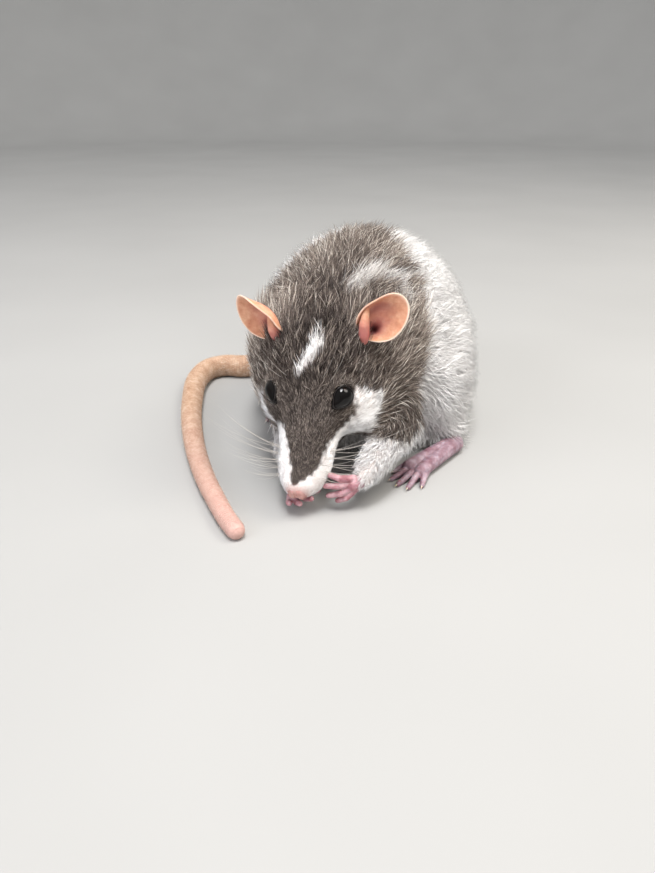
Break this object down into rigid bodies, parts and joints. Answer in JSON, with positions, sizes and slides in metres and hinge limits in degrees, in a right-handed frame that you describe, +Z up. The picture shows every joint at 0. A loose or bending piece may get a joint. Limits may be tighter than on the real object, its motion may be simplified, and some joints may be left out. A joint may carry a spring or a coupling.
{
  "type": "pet rat figure",
  "caption": "Life-size pet rat crouched on its haunches, nose down over both hands, long bare tail laid in a curve along one side.",
  "frame": {"origin": "centre of the bounding box on the floor, Z = 0 at the soles, belly and tail", "axes": "+Y from nose to rump, the rat faces -Y; +X to the rat's left; +Z up"},
  "size_m": [0.1174, 0.1396, 0.0691],
  "materials": {
    "dark_coat": "short grey-brown ticked fur, matte",
    "white_coat": "short off-white fur, matte",
    "bare_skin": "thin pink skin with fine hair",
    "tail_skin": "ringed scaly skin, rust to pink",
    "eye": "wet gloss, near black"
  },
  "bodies": {
    "root": {"head": "dark_coat", "neck": "dark_coat", "torso": "white_coat", "upper_arm_left": "white_coat", "upper_arm_right": "white_coat", "forearm_left": "white_coat", "forearm_right": "white_coat", "hand_left": "bare_skin", "hand_right": "bare_skin", "thigh_left": "white_coat", "thigh_right": "white_coat", "hind_foot_left": "bare_skin", "hind_foot_right": "bare_skin", "ear_left": "bare_skin", "ear_right": "bare_skin", "eye_left": "eye", "eye_right": "eye", "tail_base": "tail_skin", "tail_second": "tail_skin", "tail_third": "tail_skin", "tail_fourth": "tail_skin", "tail_end": "tail_skin"}
  },
  "joints": []
}
